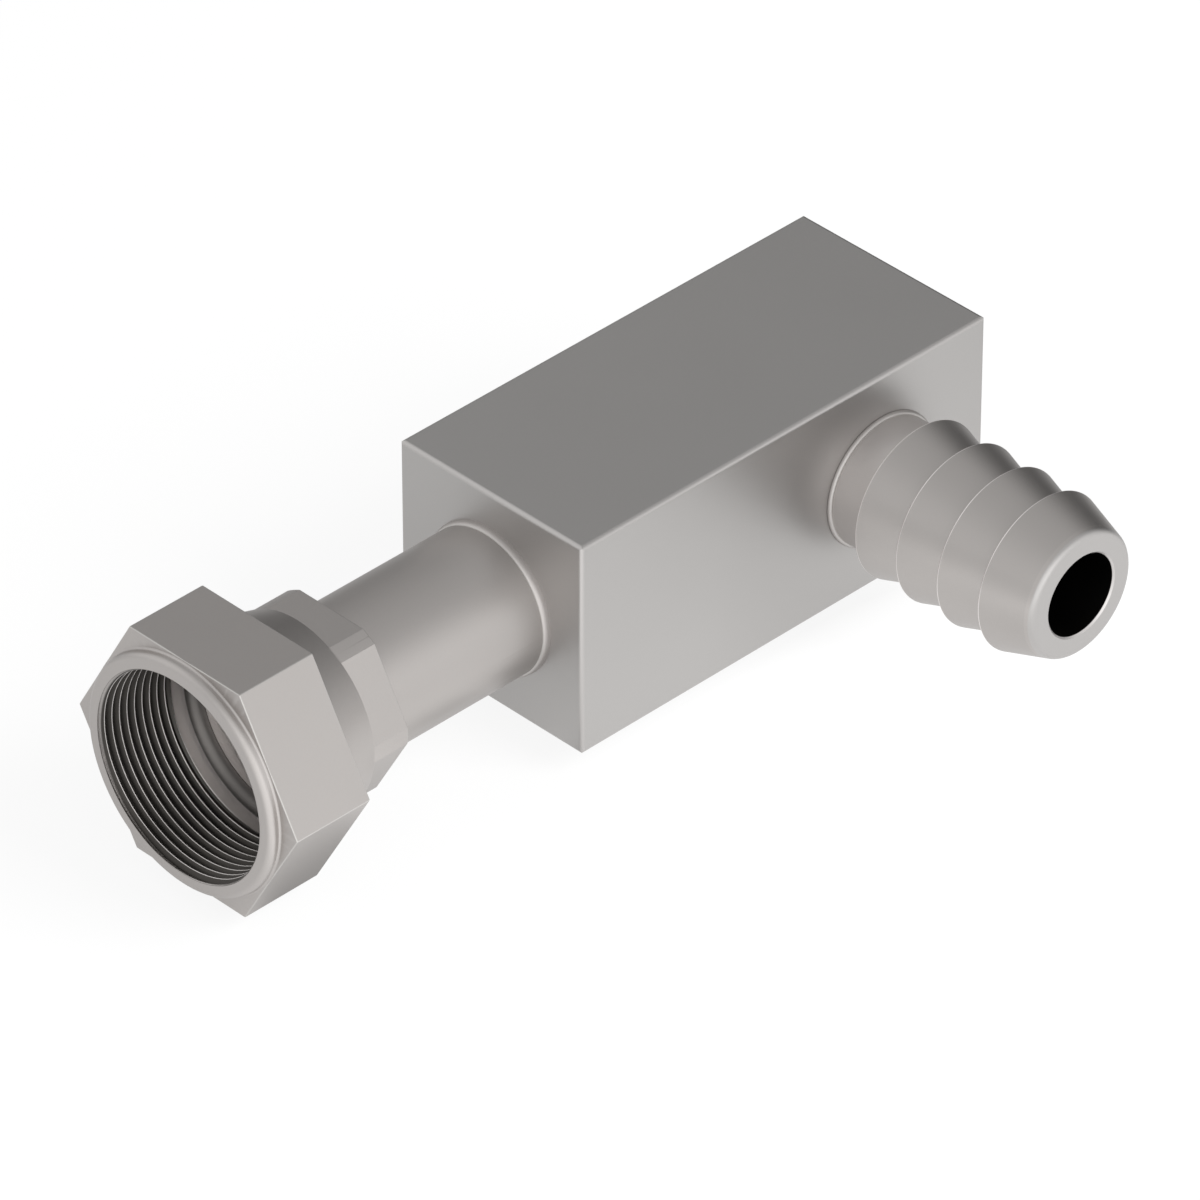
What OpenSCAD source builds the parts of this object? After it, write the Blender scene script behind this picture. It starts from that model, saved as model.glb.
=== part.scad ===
// Block elbow fitting: a drilled bar with a swivel nut on a straight stem and a ridged hose tail
// at a right angle to it. Millimetres. The origin is the centre of the stem's sealing face, +Y
// runs along the stem towards the block, the hose tail points along +X, and +Z is up.

/* [Block] */
// Width of the bar, across the stem
block_w = 39.1; // [36:0.1:48]
// Height of the bar
block_h = 38.3; // [36:0.1:48]
// Length of the bar, along the stem
block_l = 86.4; // [80:0.1:120]
// Rounding of the bar's edges
block_edge = 0.7; // [0.2:0.1:2]
// Diameter of the drilled passage through the whole fitting
passage_d = 14; // [8:0.5:16]
// How far the blind drilling goes on past the passage to the hose tail
drill_past = 1; // [0.5:0.5:3]
// Included angle of the drill's point at the blind end
drill_point = 118; // [90:1:140]

/* [Stem] */
// Outside diameter of the stem's tube
stem_d = 25; // [24:0.1:27]
// Distance from the sealing face to the block
stem_reach = 45.5; // [40:0.1:80]
// Depth of the stem's socket in the block
stem_seat = 12; // [6:0.5:20]
// Diameter of the sealing head inside the nut
head_d = 29.4; // [28:0.1:32]
// Thickness of the head's rim
head_rim = 2.5; // [1.5:0.1:3]

/* [Hose tail] */
// Distance from the block's closed end to the tail's axis
tail_inset = 22.6; // [19:0.1:40]
// Diameter of the plain neck
neck_d = 22.2; // [19:0.1:24]
// Length of the neck, from the block to the first ridge
neck_l = 7.65; // [4:0.05:15]
// Depth of the tail's socket in the block's side
tail_seat = 10; // [5:0.5:11]
// Diameter over the ridges
ridge_d = 27; // [25:0.1:32]
// Number of ridges
ridge_count = 4; // [2:1:6]
// Distance from one ridge to the next
ridge_pitch = 8.6; // [5:0.1:10]
// Slope of the ridges, measured from the axis
ridge_slope = 17.7; // [8:0.1:18]
// Length of the last ridge, which ends in the tip
tip_l = 8.85; // [6:0.05:10]
// Rounding of the tip's outer edge
tip_round = 1.1; // [0.3:0.1:1.5]
// Chamfer at the mouth of the tail's bore
tip_chamfer = 0.3; // [0.1:0.1:0.6]

/* [Braze] */
// Length of the bead of filler along the stem
stem_bead_l = 1.3; // [0.8:0.1:2]
// Length of the bead of filler along the hose tail
tail_bead_l = 0.75; // [0.5:0.05:1.5]
// Height of both beads off the tube that they run round
bead_h = 0.5; // [0.4:0.05:0.9]
// Rounding of the beads' outer corner
bead_round = 0.35; // [0.1:0.05:0.35]
// Radial gap in the brazed sockets
braze_gap = 0.05; // [0.02:0.01:0.1]

/* [Swivel nut] */
// Size of the wrench hexagon, across its flats
nut_af = 41; // [41:0.5:46]
// Length of the hexagon
hex_l = 14.65; // [12:0.05:20]
// Outside diameter of the raised collar at the open end
collar_d = 40; // [38:0.1:40.2]
// Height of the collar above the hexagon
collar_h = 1.85; // [1.5:0.05:3]
// Rounding of the collar's lip
lip_r = 1.05; // [0.5:0.05:1.1]
// Hollow fillet at the collar's foot
foot_r = 0.4; // [0.1:0.05:0.4]
// Nominal diameter of the internal thread
thread_d = 36; // [34:0.5:36.5]
// Pitch of the internal thread
thread_pitch = 1.5; // [1:0.25:2]
// Depth of the bore that is threaded, from the open end
thread_bore_l = 15.95; // [12:0.05:18]
// Width of the chamfer at the thread's mouth
mouth_chamfer_w = 0.4; // [0.3:0.05:1]
// Depth of the chamfer at the thread's mouth
mouth_chamfer_l = 0.65; // [0.3:0.05:1.2]
// Diameter of the neck's narrow end, and of the skirt over its corners
skirt_d = 32.4; // [31.8:0.1:34]
// Size across the skirt's six pressed flats
skirt_af = 29.4; // [28.8:0.1:31]
// Length of the neck that tapers down behind the hexagon
swage_l = 7.9; // [6:0.1:12]
// Slope of the neck, measured from the axis
swage_slope = 15; // [5:1:20]
// Length of the skirt
skirt_l = 6.9; // [4:0.1:12]

/* [Fits] */
// Radial running clearance of the skirt on the stem
running_gap = 0.05; // [0.02:0.01:0.1]
// Radial clearance round the sealing head inside the nut
head_gap = 0.1; // [0.05:0.01:0.3]
// End play of the nut between its seat and the shoulder behind the head
end_play = 0.4; // [0.2:0.05:0.8]

/* [Hidden] */
$fn = 96;
// How far a cutting tool overshoots the face that it enters
over = 1;

// The thread's crests lie at five eighths of a sharp profile's height in from the nominal diameter
thread_minor_d = thread_d - 2 * 0.625 * thread_pitch * sin(60);
// Radius of the pocket that holds the sealing head
pocket_r = head_d / 2 + head_gap;
// A hollow fillet leads from the thread's bore in to the pocket, and ends level with the sealing face
bore_fillet = thread_minor_d / 2 - pocket_r;
seal_depth = thread_bore_l + bore_fillet;

hex_end = collar_h + hex_l;
neck_end = hex_end + swage_l;
nut_l = neck_end + skirt_l;
skirt_bore_r = stem_d / 2 + running_gap;

tail_y = stem_reach + block_l - tail_inset;
tail_x = block_w / 2;
passage_end = tail_y + passage_d / 2 + drill_past;
ridges_l = (ridge_count - 1) * ridge_pitch + tip_l;
tip_r = ridge_d / 2 - tip_l * tan(ridge_slope);

steel = [0.68, 0.67, 0.66];

// Turns a shape made along +Z so that it runs along +Y from the given place
module along_y(y = 0) {
    translate([0, y, 0]) rotate([-90, 0, 0]) children();
}

// Turns a shape made along +Z so that it runs along +X, on the tail's axis, from the block's side
module along_tail(x = 0) {
    translate([tail_x + x, tail_y, 0]) rotate([0, 90, 0]) children();
}

// A rectangle with round corners, centred
module round_rect(w, h, r) {
    square([w - 2 * r, h], center = true);
    square([w, h - 2 * r], center = true);
    for (sx = [-1, 1], sy = [-1, 1])
        translate([sx * (w / 2 - r), sy * (h / 2 - r)]) circle(r);
}

// The bar with all its edges rounded, centred on the origin
module rounded_bar(w, l, h, r) {
    intersection() {
        linear_extrude(h, center = true) round_rect(w, l, r);
        rotate([90, 0, 0]) linear_extrude(l, center = true) round_rect(w, h, r);
        rotate([90, 0, 90]) linear_extrude(w, center = true) round_rect(l, h, r);
    }
}

// The bar, drilled from its front end and from its side, with a socket at each mouth
module block() {
    color(steel) difference() {
        translate([0, stem_reach + block_l / 2, 0])
            rounded_bar(block_w, block_l, block_h, block_edge);
        along_y(stem_reach - over)
            cylinder(h = stem_seat + over, r = stem_d / 2 + braze_gap);
        along_y(stem_reach) cylinder(h = passage_end - stem_reach, d = passage_d);
        along_y(passage_end)
            cylinder(h = passage_d / 2 / tan(drill_point / 2), d1 = passage_d, d2 = 0);
        along_tail(-tail_seat) cylinder(h = tail_seat + over, r = neck_d / 2 + braze_gap);
        along_tail(-tail_x) cylinder(h = tail_x, d = passage_d);
    }
}

// The straight tube with its flat sealing head and the 45 degree shoulder behind it, from the
// sealing face to the socket's floor
module stem() {
    head_r = head_d / 2;
    tube_r = stem_d / 2;
    tube_end = stem_reach + stem_seat;
    color(steel) along_y() difference() {
        rotate_extrude() polygon([
            [0, 0], [head_r, 0], [head_r, head_rim], [tube_r, head_rim + head_r - tube_r],
            [tube_r, tube_end], [0, tube_end]
        ]);
        translate([0, 0, -over]) cylinder(h = tube_end + 2 * over, d = passage_d);
    }
}

// A bead of filler of length l round a tube of radius r, standing on z = 0
module braze_bead(r, l) {
    rotate_extrude() translate([r, 0]) intersection() {
        square([bead_h, l]);
        union() {
            square([bead_h, l - bead_round]);
            square([bead_h - bead_round, l]);
            translate([bead_h - bead_round, l - bead_round]) circle(bead_round);
        }
    }
}

module stem_braze() {
    color(steel) translate([0, stem_reach, 0]) rotate([90, 0, 0])
        braze_bead(stem_d / 2, stem_bead_l);
}

module tail_braze() {
    color(steel) along_tail() braze_bead(neck_d / 2, tail_bead_l);
}

// One ridge of length l: a sharp shoulder at z = 0, then a cone that narrows towards the tip
module ridge(l) {
    cylinder(h = l, r1 = ridge_d / 2, r2 = ridge_d / 2 - l * tan(ridge_slope));
}

// What the tip loses outside an arc that touches both its cone and its end face, at z = 0
module tip_rounding() {
    centre_r = tip_r - tip_round * (1 - sin(ridge_slope)) / cos(ridge_slope);
    touch_r = centre_r + tip_round * cos(ridge_slope);
    touch_z = tip_round * sin(ridge_slope) - tip_round;
    rotate_extrude() difference() {
        polygon([
            [centre_r, -tip_round], [touch_r, touch_z], [ridge_d / 2, touch_z],
            [ridge_d / 2, over], [centre_r, over]
        ]);
        translate([centre_r, -tip_round]) circle(tip_round);
    }
}

// The hose tail, from the socket's floor to the tip
module hose_tail() {
    tip_z = neck_l + ridges_l;
    color(steel) along_tail() difference() {
        union() {
            translate([0, 0, -tail_seat])
                cylinder(h = tail_seat + neck_l + ridge_pitch / 2, d = neck_d);
            for (i = [0 : ridge_count - 1])
                translate([0, 0, neck_l + i * ridge_pitch])
                    ridge(i < ridge_count - 1 ? ridge_pitch : tip_l);
        }
        translate([0, 0, tip_z]) tip_rounding();
        translate([0, 0, -tail_seat - over])
            cylinder(h = tail_seat + tip_z + 2 * over, d = passage_d);
        translate([0, 0, tip_z - tip_chamfer])
            cylinder(h = 2 * tip_chamfer, d1 = passage_d, d2 = passage_d + 4 * tip_chamfer);
    }
}

// A prism with six flats, one of them on top
module six_flats(h, af) {
    cylinder(h = h, d = af / cos(30), $fn = 6);
}

// The wrench hexagon with the round collar that stands on its front
module nut_front() {
    collar_r = collar_d / 2;
    translate([0, 0, collar_h]) six_flats(hex_l, nut_af);
    rotate_extrude() {
        square([collar_r - lip_r, hex_end]);
        translate([0, lip_r]) square([collar_r, hex_end - lip_r]);
        translate([collar_r - lip_r, lip_r]) circle(lip_r);
        difference() {
            translate([0, collar_h - foot_r]) square([collar_r + foot_r, foot_r]);
            translate([collar_r + foot_r, collar_h - foot_r]) circle(foot_r);
        }
    }
}

// The neck, swaged down behind the hexagon, and the skirt with its pressed flats
module nut_back() {
    translate([0, 0, hex_end])
        cylinder(h = swage_l, r1 = skirt_d / 2 + swage_l * tan(swage_slope), r2 = skirt_d / 2);
    translate([0, 0, neck_end]) intersection() {
        cylinder(h = skirt_l, d = skirt_d);
        six_flats(skirt_l, skirt_af);
    }
}

// The hollow of the nut: bore for the thread, pocket and seat for the sealing head, running bore
module nut_hollow() {
    minor_r = thread_minor_d / 2;
    mouth_r = minor_r + mouth_chamfer_w;
    // The seat is parallel to the shoulder behind the head and lies end_play behind it
    pocket_end = seal_depth + head_rim + end_play - head_gap;
    rotate_extrude() {
        polygon([
            [0, -over], [mouth_r, -over], [mouth_r, 0], [minor_r, mouth_chamfer_l],
            [minor_r, thread_bore_l], [pocket_r, thread_bore_l], [pocket_r, pocket_end],
            [skirt_bore_r, pocket_end + pocket_r - skirt_bore_r],
            [skirt_bore_r, nut_l + over], [0, nut_l + over]
        ]);
        translate([pocket_r, thread_bore_l]) circle(bore_fillet);
    }
}

module swivel_nut() {
    color(steel) along_y(-seal_depth) difference() {
        union() {
            nut_front();
            nut_back();
        }
        nut_hollow();
    }
}

block();
stem();
stem_braze();
hose_tail();
tail_braze();
swivel_nut();
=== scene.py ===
import math

import bpy
import bmesh
from mathutils import Matrix, Vector


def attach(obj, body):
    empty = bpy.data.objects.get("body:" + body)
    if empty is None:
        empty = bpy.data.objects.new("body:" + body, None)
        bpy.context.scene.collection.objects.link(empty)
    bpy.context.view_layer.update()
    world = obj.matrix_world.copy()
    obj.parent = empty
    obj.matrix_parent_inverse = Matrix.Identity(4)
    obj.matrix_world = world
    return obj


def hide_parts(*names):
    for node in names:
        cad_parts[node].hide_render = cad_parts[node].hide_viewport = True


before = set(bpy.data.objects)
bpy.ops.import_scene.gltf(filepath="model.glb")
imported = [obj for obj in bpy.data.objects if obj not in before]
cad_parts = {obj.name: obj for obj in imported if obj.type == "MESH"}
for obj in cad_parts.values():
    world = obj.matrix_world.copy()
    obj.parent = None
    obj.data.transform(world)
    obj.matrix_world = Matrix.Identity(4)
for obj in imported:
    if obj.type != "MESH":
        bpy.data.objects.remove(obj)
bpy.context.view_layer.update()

MM = 0.001

# Sizes of the fitting in millimetres, as in the part's source. The stem's axis is Y, the hose
# tail's axis is parallel to X, and the origin is the centre of the stem's sealing face.
SEAL_DEPTH = 18.338
HEX_AF = 41.0
COLLAR_R, COLLAR_H, LIP_R, FOOT_R = 20.0, 1.85, 1.05, 0.4
HEX_END, NECK_END, NUT_L = 16.5, 24.4, 31.3
SKIRT_R, SKIRT_AF, SKIRT_BORE_R = 16.2, 29.4, 12.55
SWAGE_SLOPE = math.radians(15)
THREAD_R, THREAD_PITCH, THREAD_DEPTH, THREAD_END = 17.188, 1.5, 0.85, 14.6
MOUTH_W, MOUTH_L = 0.4, 0.65
THREAD_BORE_END, BORE_FILLET = 15.95, 2.388
POCKET_R, POCKET_END = 14.8, 21.138
TAIL_START, TAIL_Y, TAIL_SEAT = 19.55, 109.3, 10.0
NECK_R, NECK_L = 11.1, 7.65
RIDGE_R, RIDGE_COUNT, RIDGE_PITCH, RIDGE_SLOPE = 13.5, 4, 8.6, math.radians(17.7)
TIP_L, TIP_ROUND, TIP_CHAMFER, PASSAGE_R = 8.85, 1.1, 0.3, 7.0
STEM_R, STEM_REACH, STEM_BEAD_L, TAIL_BEAD_L, BEAD_H = 12.5, 45.5, 1.3, 0.75, 0.5
BLOCK_W, BLOCK_L, BLOCK_H, BLOCK_EDGE = 39.1, 86.4, 38.3, 0.7

# Small roundings that only the scene has, and the steps of a round piece
HEX_CORNER, HEX_EDGE, SKIRT_EDGE, CREST_EDGE = 0.3, 0.18, 0.2, 0.22
CIRCLE = [i * 360 / 192 for i in range(193)]
# Faces that meet more sharply than this stay sharp
SHARP = math.radians(20)


# Geometry Nodes: a section is repeated along its axis and turned round it, and may climb as a
# thread does. The points given to it are the section's (along, radius), then the turn's angles.

def turning_tree():
    tree = bpy.data.node_groups.new("turned surface", "GeometryNodeTree")
    face = tree.interface
    face.new_socket("Geometry", in_out="INPUT", socket_type="NodeSocketGeometry")
    for name, kind, value in (("Section Points", "Int", 2), ("Angles", "Int", 3),
                              ("Copies", "Int", 1), ("Pitch", "Float", 0.0),
                              ("Climb", "Float", 0.0)):
        socket = face.new_socket(name, in_out="INPUT", socket_type="NodeSocket" + kind)
        socket.default_value = value
    face.new_socket("Material", in_out="INPUT", socket_type="NodeSocketMaterial")
    face.new_socket("Geometry", in_out="OUTPUT", socket_type="NodeSocketGeometry")
    add, join = tree.nodes.new, tree.links.new
    given = add("NodeGroupInput").outputs

    def whole(operation, a, b):
        node = add("FunctionNodeIntegerMath")
        node.operation = operation
        for socket, value in zip(node.inputs, (a, b)):
            if isinstance(value, int):
                socket.default_value = value
            else:
                join(value, socket)
        return node.outputs[0]

    def real(operation, *values):
        node = add("ShaderNodeMath")
        node.operation = operation
        for socket, value in zip(node.inputs, values):
            if isinstance(value, (int, float)):
                socket.default_value = value
            else:
                join(value, socket)
        return node.outputs[0]

    def sampled(index):
        node = add("GeometryNodeSampleIndex")
        node.data_type = "FLOAT_VECTOR"
        join(given["Geometry"], node.inputs["Geometry"])
        join(place.outputs[0], node.inputs["Value"])
        join(index, node.inputs["Index"])
        split = add("ShaderNodeSeparateXYZ")
        join(node.outputs[0], split.inputs[0])
        return split.outputs

    place = add("GeometryNodeInputPosition")
    index = add("GeometryNodeInputIndex").outputs[0]
    sheet = add("GeometryNodeMeshGrid")
    join(whole("MULTIPLY", given["Section Points"], given["Copies"]), sheet.inputs["Vertices X"])
    join(given["Angles"], sheet.inputs["Vertices Y"])
    row = whole("DIVIDE_FLOOR", index, given["Angles"])
    column = whole("MODULO", index, given["Angles"])
    copy = whole("DIVIDE_FLOOR", row, given["Section Points"])
    section = sampled(whole("MODULO", row, given["Section Points"]))
    turn = sampled(whole("ADD", column, given["Section Points"]))[0]
    share = real("DIVIDE", turn, 2 * math.pi)
    along = real("ADD", section[0], real("MULTIPLY", copy, given["Pitch"]))
    along = real("ADD", along, real("MULTIPLY", share, given["Climb"]))
    point = add("ShaderNodeCombineXYZ")
    join(real("MULTIPLY", section[1], real("SINE", turn)), point.inputs[0])
    join(real("MULTIPLY", section[1], real("COSINE", turn)), point.inputs[1])
    join(along, point.inputs[2])
    bent = add("GeometryNodeSetPosition")
    join(sheet.outputs[0], bent.inputs["Geometry"])
    join(point.outputs[0], bent.inputs["Position"])
    merged = add("GeometryNodeMergeByDistance")
    join(bent.outputs[0], merged.inputs["Geometry"])
    merged.inputs["Distance"].default_value = 0.001
    realised = add("GeometryNodeRealizeInstances")
    join(merged.outputs[0], realised.inputs[0])
    finish = add("GeometryNodeSetMaterial")
    join(realised.outputs[0], finish.inputs["Geometry"])
    join(given["Material"], finish.inputs["Material"])
    join(finish.outputs[0], add("NodeGroupOutput").inputs[0])
    return tree


TURNING = turning_tree()


def turned(section, angles, material, copies=1, pitch=0.0, climb=0.0):
    """Mesh, in millimetres and along +Z, of a section of (along, radius) turned through angles
    given in degrees. The angles end where they began when the surface closes on itself."""
    points = [(along, radius, 0) for along, radius in section]
    points += [(math.radians(a), 0, 0) for a in angles]
    start = bpy.data.meshes.new("section")
    start.from_pydata(points, [], [])
    obj = bpy.data.objects.new("section", start)
    bpy.context.scene.collection.objects.link(obj)
    step = obj.modifiers.new("turning", "NODES")
    step.node_group = TURNING
    values = {"Section Points": len(section), "Angles": len(angles), "Copies": copies,
              "Pitch": float(pitch), "Climb": float(climb), "Material": material}
    for item in TURNING.interface.items_tree:
        if item.in_out == "INPUT" and item.name in values:
            step[item.identifier] = values[item.name]
    made = obj.evaluated_get(bpy.context.evaluated_depsgraph_get())
    mesh = bpy.data.meshes.new_from_object(made)
    obj.modifiers.remove(step)
    bpy.data.objects.remove(obj)
    bpy.data.meshes.remove(start)
    return mesh


# Meshes become pieces

ALONG_Y = Matrix.Rotation(math.radians(-90), 4, "X")
STEM_FOOT = Matrix.Translation((0, STEM_REACH, 0)) @ Matrix.Rotation(math.radians(90), 4, "X")
ALONG_X = Matrix.Translation((TAIL_START, TAIL_Y, 0)) @ Matrix.Rotation(math.radians(90), 4, "Y")


def mark_edges(work):
    """Gives each four-sided face its share of painted edge highlight, by how tightly it bends
    outwards between two opposite sides, in radians a millimetre."""
    plain, shiny = 1.2, 2.7
    shine = work.faces.layers.float.new("edge")
    for face in work.faces:
        sides = list(face.edges)
        if len(sides) != 4 or any(len(edge.link_faces) != 2 for edge in sides):
            continue
        lengths = [edge.calc_length() / MM for edge in sides]
        bends = [max(0.0, edge.calc_face_angle_signed(0)) for edge in sides]
        tightest = 0.0
        for i in (0, 1):
            width = (lengths[1 - i] + lengths[3 - i]) / 2
            tightest = max(tightest, min(bends[i], bends[i + 2]) / max(width, 1e-3))
        face[shine] = min(1.0, max(0.0, (tightest - plain) / (shiny - plain)))


def make_piece(name, meshes, place, material, body, replaced):
    """One piece from meshes in millimetres: placed, merged, closed and shaded."""
    work = bmesh.new()
    for mesh in meshes:
        work.from_mesh(mesh)
        bpy.data.meshes.remove(mesh)
    work.transform(Matrix.Scale(MM, 4) @ place)
    bmesh.ops.remove_doubles(work, verts=work.verts, dist=2e-6)
    bmesh.ops.dissolve_degenerate(work, edges=work.edges, dist=1e-7)
    bmesh.ops.recalc_face_normals(work, faces=work.faces)
    mark_edges(work)
    for edge in work.edges:
        if len(edge.link_faces) == 2:
            edge.smooth = edge.calc_face_angle(0) < SHARP
    for face in work.faces:
        face.smooth = True
        face.material_index = 0
    mesh = bpy.data.meshes.new(name)
    work.to_mesh(mesh)
    work.free()
    obj = bpy.data.objects.new(name, mesh)
    bpy.context.scene.collection.objects.link(obj)
    mesh.materials.clear()
    mesh.materials.append(material)
    weights = obj.modifiers.new("face weighted normals", "WEIGHTED_NORMAL")
    weights.keep_sharp = True
    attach(obj, body)
    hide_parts(*replaced)
    return obj


def arc(cx, cy, r, start, end, steps):
    """Points of an arc, from one angle to another in degrees."""
    turn = [math.radians(start + (end - start) * i / steps) for i in range(steps + 1)]
    return [(cx + r * math.cos(t), cy + r * math.sin(t)) for t in turn]


# Finishes, with painted light and shade

class Wiring:
    """Adds nodes to a shader tree and joins them."""

    def __init__(self, tree):
        self.tree = tree

    def add(self, kind, inputs=(), **settings):
        node = self.tree.nodes.new(kind)
        for key, value in settings.items():
            setattr(node, key, value)
        for key, value in dict(inputs).items():
            if isinstance(value, bpy.types.NodeSocket):
                self.tree.links.new(value, node.inputs[key])
            else:
                node.inputs[key].default_value = value
        return node

    def math(self, operation, *values):
        return self.add("ShaderNodeMath", enumerate(values), operation=operation).outputs[0]

    def span(self, value, low, high, start=0.0, end=1.0):
        """The value's place between low and high, eased, as a share from start to end."""
        inputs = {"Value": value, "From Min": low, "From Max": high, "To Min": start,
                  "To Max": end}
        node = self.add("ShaderNodeMapRange", inputs, interpolation_type="SMOOTHSTEP")
        return node.outputs["Result"]

    def blend(self, share, a, b):
        node = self.add("ShaderNodeMix", (), data_type="RGBA")
        for socket, value in ((0, share), (6, a), (7, b)):
            if isinstance(value, bpy.types.NodeSocket):
                self.tree.links.new(value, node.inputs[socket])
            else:
                node.inputs[socket].default_value = value
        return node.outputs[2]


def shader_group(name, inputs, outputs):
    tree = bpy.data.node_groups.new(name, "ShaderNodeTree")
    for label, kind, value in inputs:
        socket = tree.interface.new_socket(label, in_out="INPUT", socket_type="NodeSocket" + kind)
        socket.default_value = value
    for label, kind in outputs:
        tree.interface.new_socket(label, in_out="OUTPUT", socket_type="NodeSocket" + kind)
    w = Wiring(tree)
    return tree, w, w.add("NodeGroupInput").outputs, w.add("NodeGroupOutput").inputs


def satin_grain_group():
    """Fine blasted grain and a soft cloudiness of the colour."""
    tree, w, given, out = shader_group(
        "satin grain",
        [("Vector", "Vector", (0, 0, 0)), ("Colour", "Color", (0.5, 0.5, 0.5, 1)),
         ("Grain Size", "Float", 0.0004), ("Cloudiness", "Float", 0.04)],
        [("Colour", "Color"), ("Grain", "Float")])
    size = w.math("DIVIDE", 1.0, given["Grain Size"])
    grain = w.add("ShaderNodeTexNoise", {"Vector": given["Vector"], "Scale": size, "Detail": 3.0})
    cloud = w.add("ShaderNodeTexNoise", {"Vector": given["Vector"], "Scale": 45.0, "Detail": 2.0})
    swing = w.math("MULTIPLY", w.math("SUBTRACT", cloud.outputs[0], 0.5), given["Cloudiness"])
    fine = w.math("MULTIPLY", w.math("SUBTRACT", grain.outputs[0], 0.5), 0.06)
    level = w.math("ADD", w.math("ADD", swing, fine), 1.0)
    scaled = w.add("ShaderNodeVectorMath", {0: given["Colour"], 3: level}, operation="SCALE")
    w.tree.links.new(scaled.outputs[0], out["Colour"])
    w.tree.links.new(grain.outputs[0], out["Grain"])
    return tree


def lathe_marks_group():
    """Fine rings left by turning, round the Z axis of the vector."""
    tree, w, given, out = shader_group(
        "lathe marks", [("Vector", "Vector", (0, 0, 0)), ("Feed", "Float", 0.0002)],
        [("Rings", "Float"), ("Radius", "Float"), ("Along", "Float")])
    split = w.add("ShaderNodeSeparateXYZ", {0: given["Vector"]})
    x, y, z = split.outputs
    squares = w.math("ADD", w.math("MULTIPLY", x, x), w.math("MULTIPLY", y, y))
    radius = w.math("SQRT", squares)
    point = w.add("ShaderNodeCombineXYZ", {0: radius, 1: z})
    rings = w.add("ShaderNodeTexNoise", {"Vector": point.outputs[0],
                                         "Scale": w.math("DIVIDE", 1.0, given["Feed"]),
                                         "Detail": 1.0})
    w.tree.links.new(rings.outputs[0], out["Rings"])
    w.tree.links.new(radius, out["Radius"])
    w.tree.links.new(z, out["Along"])
    return tree


def edge_highlight_group():
    """Painted highlight on rounded edges: a lighter colour there, and a little less roughness."""
    tree, w, given, out = shader_group(
        "painted edge highlight",
        [("Edge", "Float", 0.0), ("Colour", "Color", (0.5, 0.5, 0.5, 1)),
         ("Edge Colour", "Color", (0.7, 0.7, 0.7, 1)), ("Roughness", "Float", 0.4),
         ("Highlight Share", "Float", 1.0)],
        [("Colour", "Color"), ("Roughness", "Float")])
    share = w.math("MULTIPLY", given["Edge"], given["Highlight Share"])
    w.tree.links.new(w.blend(share, given["Colour"], given["Edge Colour"]), out["Colour"])
    smoother = w.math("SUBTRACT", given["Roughness"], w.math("MULTIPLY", share, 0.06))
    w.tree.links.new(smoother, out["Roughness"])
    return tree


def bar_edges_group():
    """How far a point lies on the rounded edges of a bar that is centred on the vector's zero."""
    tree, w, given, out = shader_group(
        "bar edges",
        [("Vector", "Vector", (0, 0, 0)), ("Half Size", "Vector", (0.02, 0.02, 0.02)),
         ("Rounding", "Float", 0.0007)],
        [("Edge", "Float")])
    away = w.add("ShaderNodeVectorMath", {0: given["Vector"]}, operation="ABSOLUTE")
    past = w.add("ShaderNodeVectorMath", {0: away.outputs[0], 1: given["Half Size"]},
                 operation="SUBTRACT")
    x, y, z = w.add("ShaderNodeSeparateXYZ", {0: past.outputs[0]}).outputs
    low, high = w.math("MINIMUM", x, y), w.math("MAXIMUM", x, y)
    second = w.math("MAXIMUM", low, w.math("MINIMUM", z, high))
    depth = w.math("DIVIDE", w.math("ADD", second, given["Rounding"]), given["Rounding"])
    w.tree.links.new(w.span(depth, 0.0, 0.3), out["Edge"])
    return tree


GRAIN, MARKS, EDGE_HIGHLIGHT = satin_grain_group(), lathe_marks_group(), edge_highlight_group()
BAR_EDGES = bar_edges_group()
# Feed of the lathe for each turn, and the length over which a zone's ends fade
FEED, ZONE_FADE = 0.2 * MM, 0.2 * MM
STEM_AXIS = ((0, 0, 0), (math.radians(90), 0, 0))
TAIL_AXIS = ((0, -TAIL_Y * MM, 0), (0, math.radians(90), 0))


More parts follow.
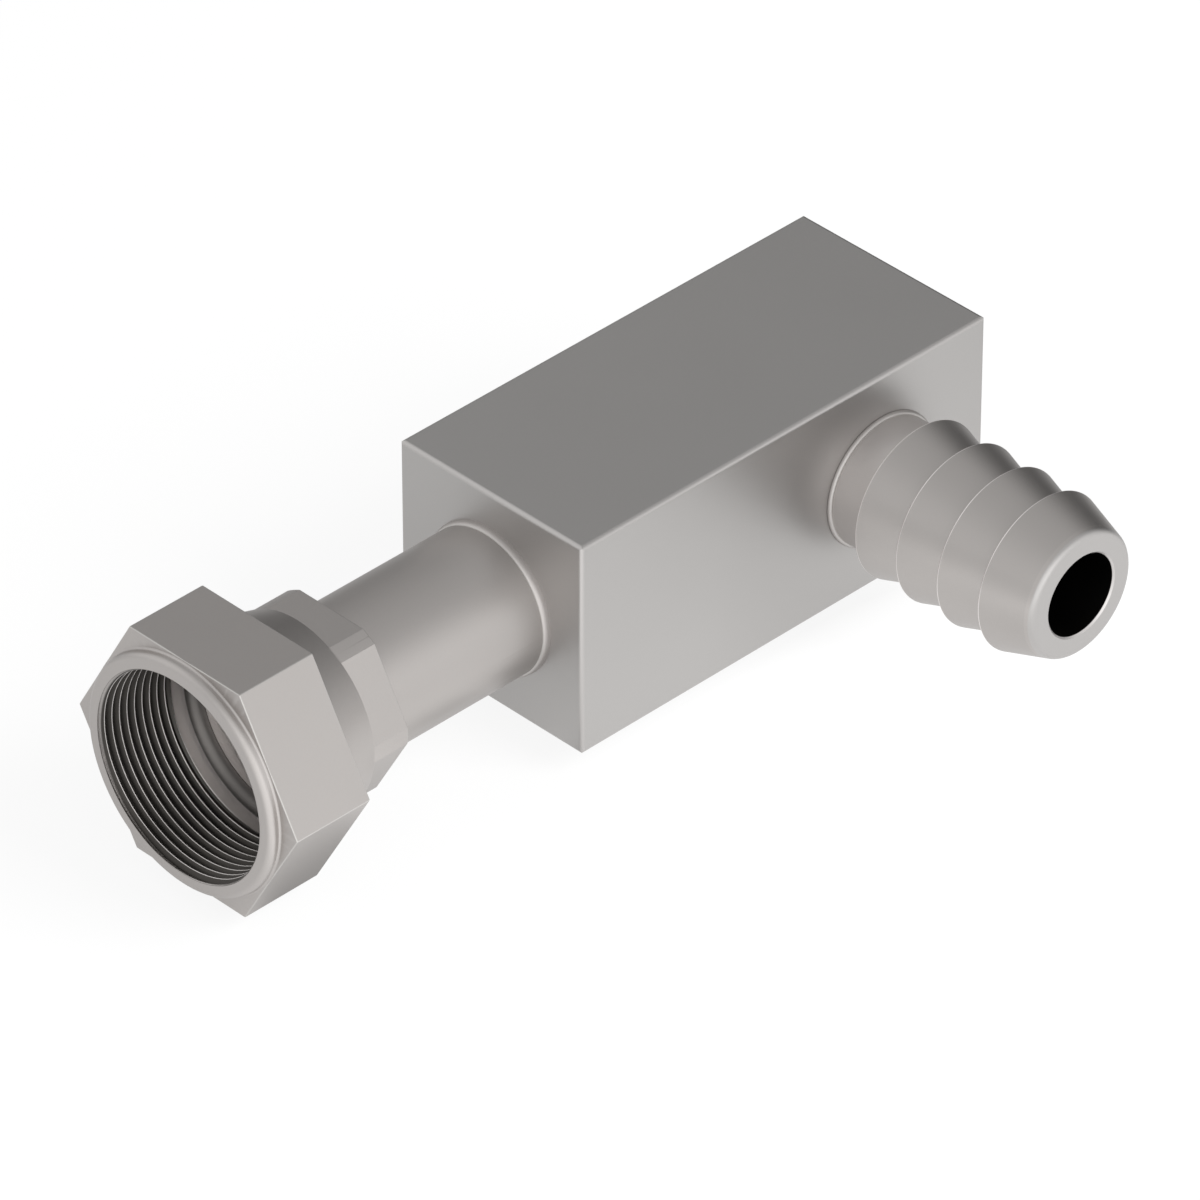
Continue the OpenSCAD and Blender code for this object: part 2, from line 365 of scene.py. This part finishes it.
def metal(name, colour, edge_colour, roughness, axis=None, zones=(), bar=None, highlight_share=1.0):
    """Satin steel, with a painted highlight on its edges. A turned piece has rings round its
    axis, and
    zones of painted light and shade: (least radius, greatest radius, softness of these two, start
    and end along the axis, colour, edge colour). A bar's painted edge highlight follows its
    centre, half size and rounding."""
    mat = bpy.data.materials.new(name)
    mat.use_nodes = True
    w = Wiring(mat.node_tree)
    bsdf = mat.node_tree.nodes["Principled BSDF"]
    bsdf.inputs["Metallic"].default_value = 1.0
    place = w.add("ShaderNodeTexCoord").outputs["Object"]
    if axis:
        moved = w.add("ShaderNodeMapping", {"Vector": place, "Location": axis[0]})
        place = w.add("ShaderNodeMapping", {"Vector": moved.outputs[0],
                                            "Rotation": axis[1]}).outputs[0]
    grain = w.add("ShaderNodeGroup", (), node_tree=GRAIN)
    w.tree.links.new(place, grain.inputs["Vector"])
    grain.inputs["Colour"].default_value = (*colour, 1)
    painted_edge = w.add("ShaderNodeGroup", (), node_tree=EDGE_HIGHLIGHT)
    painted_edge.inputs["Highlight Share"].default_value = highlight_share
    # Where the painted edge highlight lies: on a bar by its rounded edges, else on the marked
    # faces
    if bar:
        centre, half, rounding = bar
        moved = w.add("ShaderNodeMapping", {"Vector": place, "Location": [-c for c in centre]})
        edges = w.add("ShaderNodeGroup", (), node_tree=BAR_EDGES)
        w.tree.links.new(moved.outputs[0], edges.inputs["Vector"])
        edges.inputs["Half Size"].default_value = half
        edges.inputs["Rounding"].default_value = rounding
        w.tree.links.new(edges.outputs["Edge"], painted_edge.inputs["Edge"])
    else:
        edge = w.add("ShaderNodeAttribute", (), attribute_name="edge").outputs["Fac"]
        w.tree.links.new(edge, painted_edge.inputs["Edge"])
    height = grain.outputs["Grain"]
    rough = w.math("ADD", w.math("MULTIPLY", w.math("SUBTRACT", height, 0.5), 0.1), roughness)
    shade, rim = grain.outputs["Colour"], (*edge_colour, 1)
    if axis:
        marks = w.add("ShaderNodeGroup", (), node_tree=MARKS)
        w.tree.links.new(place, marks.inputs["Vector"])
        marks.inputs["Feed"].default_value = FEED
        height = w.math("ADD", w.math("MULTIPLY", height, 0.5), marks.outputs["Rings"])
        # Each zone paints its light or shade over the colour and over the edge colour
        for low, high, soft, start, end, colour, edge in zones:
            radius, along = marks.outputs["Radius"], marks.outputs["Along"]
            ring = w.math("MULTIPLY", w.span(radius, low, low + soft),
                          w.span(radius, high + soft, high))
            length = w.math("MULTIPLY", w.span(along, start, start + ZONE_FADE),
                            w.span(along, end + ZONE_FADE, end))
            inside = w.math("MULTIPLY", ring, length)
            shade = w.blend(inside, shade, (*colour, 1))
            rim = w.blend(inside, rim, (*edge, 1))
        w.tree.links.new(rim, painted_edge.inputs["Edge Colour"])
    else:
        painted_edge.inputs["Edge Colour"].default_value = rim
    w.tree.links.new(shade, painted_edge.inputs["Colour"])
    w.tree.links.new(rough, painted_edge.inputs["Roughness"])
    bump = w.add("ShaderNodeBump", {"Height": height, "Strength": 0.25, "Distance": 0.00002})
    w.tree.links.new(painted_edge.outputs["Colour"], bsdf.inputs["Base Color"])
    w.tree.links.new(painted_edge.outputs["Roughness"], bsdf.inputs["Roughness"])
    w.tree.links.new(bump.outputs[0], bsdf.inputs["Normal"])
    return mat


NEUTRAL, WARM = (0.491, 0.479, 0.469), (0.495, 0.470, 0.454)
# Painted light: highlights on edges, and lighter walls and necks
PAINTED_LIGHT, PAINTED_HIGHLIGHT = (0.607, 0.578, 0.563), (0.85, 0.815, 0.80)
# A softer painted edge highlight, and the braze filler's own colour
SOFT_HIGHLIGHT, FILLED = (0.54, 0.525, 0.505), (0.532, 0.504, 0.488)
# Painted shade on the tail's ridges, and painted light on its end face
RIDGE_SHADE, TIP_FACE_LIGHT = (0.465, 0.442, 0.427), (0.522, 0.508, 0.498)
# Painted shade: the hollow fillet, the bores, the thread's grooves, and dark lines at the mouth
# and the bead's foot
HOLLOW_SHADE = (0.17, 0.16, 0.152)
BORE_SHADE, GROOVE_SHADE, SHADED = (0.03, 0.028, 0.026), (0.07, 0.065, 0.06), (0.2, 0.19, 0.18)

BLOCK_MIDDLE = (0, (STEM_REACH + BLOCK_L / 2) * MM, 0)
BAR = [BLOCK_MIDDLE, [size / 2 * MM for size in (BLOCK_W, BLOCK_L, BLOCK_H)], BLOCK_EDGE * MM]
# Where an open limit of a zone lies, in metres
OPEN = 1.0


def zone(least, greatest, soft, start, end, colour, edge_colour):
    """A painted light or shade zone of a turned piece, from lengths in millimetres. A limit of
    None is open.
    """
    return (-OPEN if least is None else least * MM, OPEN if greatest is None else greatest * MM,
            soft * MM, -OPEN if start is None else start * MM, OPEN if end is None else end * MM,
            colour, edge_colour)


# The bores: painted shade in the passage, with a painted highlight on its edges
BORE = zone(None, PASSAGE_R + 0.01, 0.04, None, None, BORE_SHADE, PAINTED_LIGHT)
# Zones of the tail: painted shade on its ridges, painted light on its end face and its plain
# neck, and a painted shade line where its bead meets the block. The way along its axis is counted
# from the tip to the block, below zero
FACE = -TAIL_START
NECK_START = FACE - NECK_L
TIP_END = NECK_START - (RIDGE_COUNT - 1) * RIDGE_PITCH - TIP_L
RIDGES = zone(None, None, 0.1, TIP_END + 1.3, NECK_START - 0.05, RIDGE_SHADE, PAINTED_HIGHLIGHT)
END_FACE = zone(None, None, 0.1, None, TIP_END + 0.7, TIP_FACE_LIGHT, PAINTED_HIGHLIGHT)
PLAIN_NECK = zone(NECK_R - 0.2, NECK_R + 0.05, 0.05, NECK_START - 0.05, FACE, PAINTED_LIGHT, PAINTED_LIGHT)
BEAD_FOOT = zone(None, None, 0.1, FACE - 0.2, None, SHADED, SHADED)
# Zones of the nut: a painted shade line at the edge of its mouth, painted light on its wall with
# the thread's crests, painted shade in the thread's grooves, painted light on the plain wall
# behind them, and painted shade in the hollow fillet before the stem's head
MOUTH, MOUTH_R = -SEAL_DEPTH, THREAD_R + MOUTH_W
MOUTH_LINE = zone(MOUTH_R - 0.018, MOUTH_R + 0.042, 0.03, MOUTH - 0.3, MOUTH + 0.1, SHADED,
                  SHADED)
NUT_WALL = zone(None, 17.4, 0.2, MOUTH + 0.6, 0.2, PAINTED_HIGHLIGHT, PAINTED_HIGHLIGHT)
GROOVES = zone(17.2, 18.3, 0.08, MOUTH + 0.6, MOUTH + 15, GROOVE_SHADE, PAINTED_HIGHLIGHT)
PLAIN_WALL = zone(None, 17.3, 0.1, MOUTH + 14.4, MOUTH + 16.8, PAINTED_HIGHLIGHT, PAINTED_HIGHLIGHT)
FILLET = zone(None, 17.0, 0.15, MOUTH + 16.6, 0.2, HOLLOW_SHADE, HOLLOW_SHADE)

# Each finish has a painted highlight on its edges, and the zones above paint light and shade
bar_steel = metal("ground bar steel", NEUTRAL, PAINTED_LIGHT, 0.42, bar=BAR, highlight_share=0.25)
stem_steel = metal("turned stem steel", WARM, PAINTED_LIGHT, 0.42, STEM_AXIS, zones=[BORE])
tail_steel = metal("turned tail steel", WARM, PAINTED_HIGHLIGHT, 0.42, TAIL_AXIS,
                   zones=[RIDGES, END_FACE, BORE, PLAIN_NECK])
nut_steel = metal("turned nut steel", WARM, SOFT_HIGHLIGHT, 0.42, STEM_AXIS,
                  zones=[MOUTH_LINE, NUT_WALL, GROOVES, PLAIN_WALL, FILLET])
filler = metal("braze filler", FILLED, SOFT_HIGHLIGHT, 0.46)
tail_filler = metal("tail braze filler", FILLED, SOFT_HIGHLIGHT, 0.46, TAIL_AXIS, zones=[BEAD_FOOT])


# The swivel nut: rings of points round the stem's axis, each ring a row of (depth, radius)

def nut_angles():
    """Angles from the middle of a flat, fine at the hexagon's corners and the skirt's edges."""
    skirt_edge = math.degrees(math.acos(SKIRT_AF / 2 / SKIRT_R))
    half = [2.0 * i for i in range(13)]
    half += [skirt_edge - 0.5, skirt_edge, skirt_edge + 0.5, 26.5, 27.8, 28.9, 29.5, 29.72, 29.86]
    half = sorted(set(round(a, 4) for a in half))
    sector = [-a for a in reversed(half[1:])] + half + [30.0]
    ring = [(60 * s + a, a) for s in range(6) for a in sector]
    return ring + [(ring[0][0] + 360, ring[0][1])]


def flat_radius(af, a, corner_round=0.0):
    """Distance from the axis to a six-sided outline, at an angle from the middle of a flat."""
    a = abs(a)
    r = af / 2 / math.cos(math.radians(a))
    if corner_round > 0:
        # Arc that rounds the corner, centred on the corner's line
        centre = (af / 2 - corner_round) / math.cos(math.radians(30))
        b = math.radians(30 - a)
        inside = corner_round ** 2 - (centre * math.sin(b)) ** 2
        if inside > 0:
            r = min(r, centre * math.cos(b) + math.sqrt(inside))
    return r


def nut_rows():
    """Rows from the thread's mouth, over the outside and through the pocket, to the inner end of
    the thread. Each is a function of the angle from the middle of a flat: (depth, radius)."""
    rows = []

    def ring(y, r):
        rows.append(lambda a, y=y, r=r: (y, r))

    ring(0.0, THREAD_R + MOUTH_W)
    ring(0.0, THREAD_R + MOUTH_W + 0.3)
    for r, y in arc(COLLAR_R - LIP_R, LIP_R, LIP_R, -90, 0, 10):
        ring(y, r)
    for r, y in arc(COLLAR_R + FOOT_R, COLLAR_H - FOOT_R, FOOT_R, 180, 90, 6):
        ring(y, r)

    def front_edge(turn):
        def at(a):
            full = flat_radius(HEX_AF, a, HEX_CORNER)
            soft = min(HEX_EDGE, full - COLLAR_R - FOOT_R)
            t = math.radians(turn)
            return (COLLAR_H + soft * (1 - math.cos(t)), full - soft * (1 - math.sin(t)))
        return at

    def rear_edge(turn):
        def at(a):
            full = flat_radius(HEX_AF, a, HEX_CORNER)
            t = math.radians(turn)
            return (HEX_END - HEX_EDGE * (1 - math.sin(t)), full - HEX_EDGE * (1 - math.cos(t)))
        return at

    rows.extend(front_edge(t) for t in (0, 22.5, 45, 67.5, 90))
    rows.extend(rear_edge(t) for t in (0, 22.5, 45, 67.5, 90))
    neck_r = SKIRT_R + (NECK_END - HEX_END) * math.tan(SWAGE_SLOPE)
    ring(HEX_END, neck_r + 0.3)
    ring(HEX_END, neck_r)
    ring(HEX_END + 0.3, neck_r - 0.3 * math.tan(SWAGE_SLOPE))
    ring(NECK_END - 0.2, SKIRT_R + 0.2 * math.tan(SWAGE_SLOPE))
    ring(NECK_END, SKIRT_R)

    def skirt(y, inset=0.0):
        return lambda a: (y, min(SKIRT_R, flat_radius(SKIRT_AF, a)) - inset)

    rows.append(skirt(NECK_END))
    rows.append(skirt(NECK_END + 0.2))
    for t in (0, 30, 60, 90):
        t = math.radians(t)
        rows.append(skirt(NUT_L - SKIRT_EDGE * (1 - math.sin(t)), SKIRT_EDGE * (1 - math.cos(t))))
    ring(NUT_L, SKIRT_BORE_R + 0.15)
    ring(NUT_L - 0.15, SKIRT_BORE_R)
    ring(POCKET_END + POCKET_R - SKIRT_BORE_R, SKIRT_BORE_R)
    ring(POCKET_END, POCKET_R)
    ring(SEAL_DEPTH, POCKET_R)
    for r, y in arc(POCKET_R, THREAD_BORE_END, BORE_FILLET, 90, 0, 16)[1:]:
        ring(y, r)
    ring(THREAD_END, THREAD_R)
    return rows


# Depth of the internal thread over one pitch, from the middle of a crest: (share of pitch, depth)
THREAD_PROFILE = [
    (0.0, 0.0), (0.03, 0.0), (0.055, 0.05), (0.25, 0.48), (0.41, 0.88), (0.455, 0.98),
    (0.5, 1.0), (0.545, 0.98), (0.59, 0.88), (0.75, 0.48), (0.945, 0.05), (0.97, 0.0),
]


def nut_mesh():
    """The nut's outside and pocket as a plain grid of points."""
    angles, rows = nut_angles(), nut_rows()
    n = len(angles)
    verts = []
    for row in rows:
        for turn, a in angles:
            y, r = row(a)
            t = math.radians(turn)
            verts.append((r * math.sin(t), r * math.cos(t), y))
    faces = [(j * n + i, j * n + i + 1, (j + 1) * n + i + 1, (j + 1) * n + i)
             for j in range(len(rows) - 1) for i in range(n - 1)]
    mesh = bpy.data.meshes.new("nut")
    mesh.from_pydata(verts, [], faces)
    return mesh


def thread_mesh(material):
    """The thread: its profile climbs one pitch a turn, and is held between its two end rings."""
    angles = [turn for turn, a in nut_angles()]
    first = -2 * THREAD_PITCH
    profile = [(first + share * THREAD_PITCH, THREAD_R + THREAD_DEPTH * depth)
               for share, depth in THREAD_PROFILE]
    mesh = turned(profile, angles, material, copies=int(THREAD_END / THREAD_PITCH) + 4,
                  pitch=THREAD_PITCH, climb=THREAD_PITCH)
    for vert in mesh.vertices:
        x, y, along = vert.co
        r = math.hypot(x, y)
        fade = min(1, max(0, (THREAD_END - 0.1 - along) / 1.2))
        wanted = THREAD_R + (r - THREAD_R) * fade
        if along <= 0:
            along, wanted = 0.0, THREAD_R + MOUTH_W
        elif along >= THREAD_END:
            along, wanted = THREAD_END, THREAD_R
        else:
            wanted = max(wanted, THREAD_R + MOUTH_W * (1 - along / MOUTH_L))
        vert.co = (x * wanted / r, y * wanted / r, along)
    return mesh


def swivel_nut():
    place = ALONG_Y @ Matrix.Translation((0, 0, -SEAL_DEPTH))
    return make_piece("swivel_nut_threaded", [nut_mesh(), thread_mesh(nut_steel)], place,
                      nut_steel, "nut", ["swivel_nut"])


# The hose tail: one ridge's section is repeated, then comes the tip, the bore and the neck

def hose_tail():
    edge, slope = CREST_EDGE, math.tan(RIDGE_SLOPE)
    # A small arc joins the ridge's shoulder to its cone
    turn = 90 - math.degrees(RIDGE_SLOPE)
    centre = (edge, RIDGE_R - edge * (1 + math.sin(RIDGE_SLOPE)) / math.cos(RIDGE_SLOPE))
    crest = arc(centre[0], centre[1], edge, 180, turn, 5)
    foot_r = RIDGE_R - RIDGE_PITCH * slope
    ridge = [(0, foot_r)] + crest + [(RIDGE_PITCH, foot_r)]
    ridges = turned(ridge, CIRCLE, tail_steel, copies=RIDGE_COUNT - 1, pitch=RIDGE_PITCH)
    last = (RIDGE_COUNT - 1) * RIDGE_PITCH
    end = last + TIP_L
    tip_r = RIDGE_R - TIP_L * slope
    centre_r = tip_r - TIP_ROUND * (1 - math.sin(RIDGE_SLOPE)) / math.cos(RIDGE_SLOPE)
    tip = [(last, foot_r)] + [(last + x, r) for x, r in crest]
    tip += arc(end - TIP_ROUND, centre_r, TIP_ROUND, turn, 0, 9)
    tip += [(end, PASSAGE_R + TIP_CHAMFER), (end - TIP_CHAMFER, PASSAGE_R),
            (-NECK_L - TAIL_SEAT, PASSAGE_R), (-NECK_L - TAIL_SEAT, NECK_R), (0, NECK_R),
            (0, foot_r)]
    rest = turned(tip, CIRCLE, tail_steel)
    place = ALONG_X @ Matrix.Translation((0, 0, NECK_L))
    return make_piece("hose_tail_turned", [ridges, rest], place, tail_steel, "fitting",
                      ["hose_tail"])


# The beads of filler, softly rounded

def bead(name, r, length, place, material, replaced):
    reach = 0.8 * length
    turn = [math.radians(90 - 10 * i) for i in range(10)]
    section = [(0, r), (0, r + BEAD_H)]
    section += [(length - reach + reach * math.cos(t), r + BEAD_H * math.sin(t)) for t in turn]
    return make_piece(name, [turned(section + [(0, r)], CIRCLE, material)], place, material,
                      "fitting", [replaced])


swivel_nut()
hose_tail()
bead("stem_bead", STEM_R, STEM_BEAD_L, STEM_FOOT, filler, "stem_braze")
bead("tail_bead", NECK_R, TAIL_BEAD_L, ALONG_X, tail_filler, "tail_braze")
for name, mat in (("block", bar_steel), ("stem", stem_steel)):
    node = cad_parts[name]
    node.data.materials.clear()
    node.data.materials.append(mat)


# Floor, light and camera

FLOOR_REACH, PAPER = 3.0, (0.85, 0.85, 0.85, 1)
# Share of the floor's brightness that is even, for the camera and in the metal
EVEN_TO_CAMERA, EVEN_IN_METAL = 0.88, 0.8


def floor():
    # Just low enough for the nut's corners to clear it as they come round
    z = -HEX_AF / 2 / math.cos(math.radians(30)) * MM
    mesh = bpy.data.meshes.new("floor")
    corners = [(-1, -1), (1, -1), (1, 1), (-1, 1)]
    mesh.from_pydata([(x * FLOOR_REACH, y * FLOOR_REACH, z) for x, y in corners], [],
                     [(0, 1, 2, 3)])
    obj = bpy.data.objects.new("floor", mesh)
    bpy.context.scene.collection.objects.link(obj)
    mat = bpy.data.materials.new("pale floor")
    mat.use_nodes = True
    w = Wiring(mat.node_tree)
    bsdf = mat.node_tree.nodes["Principled BSDF"]
    bsdf.inputs["Base Color"].default_value = PAPER
    bsdf.inputs["Roughness"].default_value = 0.9
    # Painted light and shade in how bright the metal shows the paper: brighter on the right,
    place = w.add("ShaderNodeTexCoord").outputs["Object"]
    x, y = w.add("ShaderNodeSeparateXYZ", {0: place}).outputs[:2]
    shown = w.span(x, 0.0, 0.03, 0.83, 1.12)
    # darker far off, and a painted shadow under the nut,
    behind_left = w.span(w.math("SUBTRACT", y, x), 0.08, 0.18, 0.0, -0.4)
    far_behind = w.span(y, 0.22, 0.4, 0.0, -0.4)
    far_right = w.span(x, 0.04, 0.06, 0.0, -0.12)
    off_x = w.math("SUBTRACT", x, 0.012)
    apart = w.math("SQRT", w.math("ADD", w.math("MULTIPLY", off_x, off_x),
                                  w.math("MULTIPLY", y, y)))
    under_nut = w.span(apart, 0.017, 0.007, 0.0, -0.5)
    # painted shade in a strip under the stem's right side,
    across = w.math("MULTIPLY", w.span(x, 0.011, 0.016), w.span(x, 0.027, 0.018))
    length = w.math("MULTIPLY", w.span(y, 0.026, 0.033), w.span(y, 0.046, 0.041))
    strip = w.math("MULTIPLY", w.math("MULTIPLY", across, length), -0.45)
    # and painted light in front on the right, which the block's front shows by way of the stem
    front_right = w.math("MULTIPLY", w.span(x, 0.022, 0.045), w.span(y, 0.035, 0.012, 0.0, 0.45))
    for patch in (behind_left, far_right, far_behind, under_nut, strip, front_right):
        shown = w.math("ADD", shown, patch)
    path = w.add("ShaderNodeLightPath").outputs
    level = w.math("MAXIMUM", shown, path["Is Camera Ray"])
    white = w.add("ShaderNodeEmission", {"Color": (1, 1, 1, 1), "Strength": level})
    seen = w.math("ADD", w.math("MULTIPLY", path["Is Camera Ray"], EVEN_TO_CAMERA),
                  w.math("MULTIPLY", path["Is Glossy Ray"], EVEN_IN_METAL))
    seen = w.math("ADD", seen, path["Is Transmission Ray"])
    mix = w.add("ShaderNodeMixShader", {0: seen, 1: bsdf.outputs[0], 2: white.outputs[0]})
    w.tree.links.new(mix.outputs[0], mat.node_tree.nodes["Material Output"].inputs["Surface"])
    mesh.materials.append(mat)


floor()


ROOM_LEVEL = 0.655
# Sides of the room that are darker or brighter: the way to a side's middle, the angles from there
# in degrees at which it starts and at which it is full, and what it adds
ROOM_SIDES = [((-0.35, 0.93, -0.02), 60, 5, -0.6), ((0.95, 0.3, -0.1), 66, 0, 0.55),
              ((0.75, -0.6, 0.2), 58, 0, 0.8), ((-0.75, -0.45, 0.5), 50, 0, 0.35)]


def studio_light():
    """A grey room that is darker behind, and brighter on the right and in front."""
    world = bpy.data.worlds.new("studio")
    bpy.context.scene.world = world
    world.use_nodes = True
    w = Wiring(world.node_tree)
    way = w.add("ShaderNodeTexCoord").outputs["Generated"]
    level = ROOM_LEVEL
    for middle, wide, narrow, gain in ROOM_SIDES:
        dot = w.add("ShaderNodeVectorMath", {0: way, 1: Vector(middle).normalized()},
                    operation="DOT_PRODUCT")
        side = w.span(dot.outputs["Value"], math.cos(math.radians(wide)),
                      math.cos(math.radians(narrow)), 0.0, gain)
        level = w.math("ADD", side, level)
    path = w.add("ShaderNodeLightPath").outputs
    room = world.node_tree.nodes["Background"]
    w.tree.links.new(level, room.inputs["Strength"])
    room.inputs["Color"].default_value = (1, 1, 1, 1)
    plain = w.add("ShaderNodeBackground", {"Color": (1, 1, 1, 1), "Strength": 1.0})
    mix = w.add("ShaderNodeMixShader", {0: path["Is Camera Ray"], 1: room.outputs[0],
                                        2: plain.outputs[0]})
    w.tree.links.new(mix.outputs[0], world.node_tree.nodes["World Output"].inputs["Surface"])


studio_light()


def floor_lamp():
    """It brightens the floor on the right. The metal shows the floor and not the lamp."""
    data = bpy.data.lights.new("right floor lamp", "AREA")
    data.shape = "SQUARE"
    data.size = 0.5
    data.energy = 9
    obj = bpy.data.objects.new("right floor lamp", data)
    obj.location = (0.7, 0.3, 0.6)
    middle = Vector((0, 0.08, 0))
    obj.rotation_euler = (middle - obj.location).to_track_quat("-Z", "Y").to_euler()
    bpy.context.scene.collection.objects.link(obj)
    obj.visible_glossy = False


floor_lamp()

# The camera stands where the photograph was taken from
AZIMUTH, ELEVATION = math.radians(45.55), math.radians(36.32)
back = Vector((math.sin(AZIMUTH) * math.cos(ELEVATION), -math.cos(AZIMUTH) * math.cos(ELEVATION),
               math.sin(ELEVATION)))
cam_data = bpy.data.cameras.new("camera")
cam_data.lens = 312.96
cam_data.sensor_width = 36
cam_data.clip_end = 20
cam = bpy.data.objects.new("camera", cam_data)
cam.location = (0.91385, -0.82796, 0.92878)
cam.rotation_euler = back.to_track_quat("Z", "Y").to_euler()
bpy.context.scene.collection.objects.link(cam)
bpy.context.scene.camera = cam
bpy.context.scene.view_settings.view_transform = "Standard"
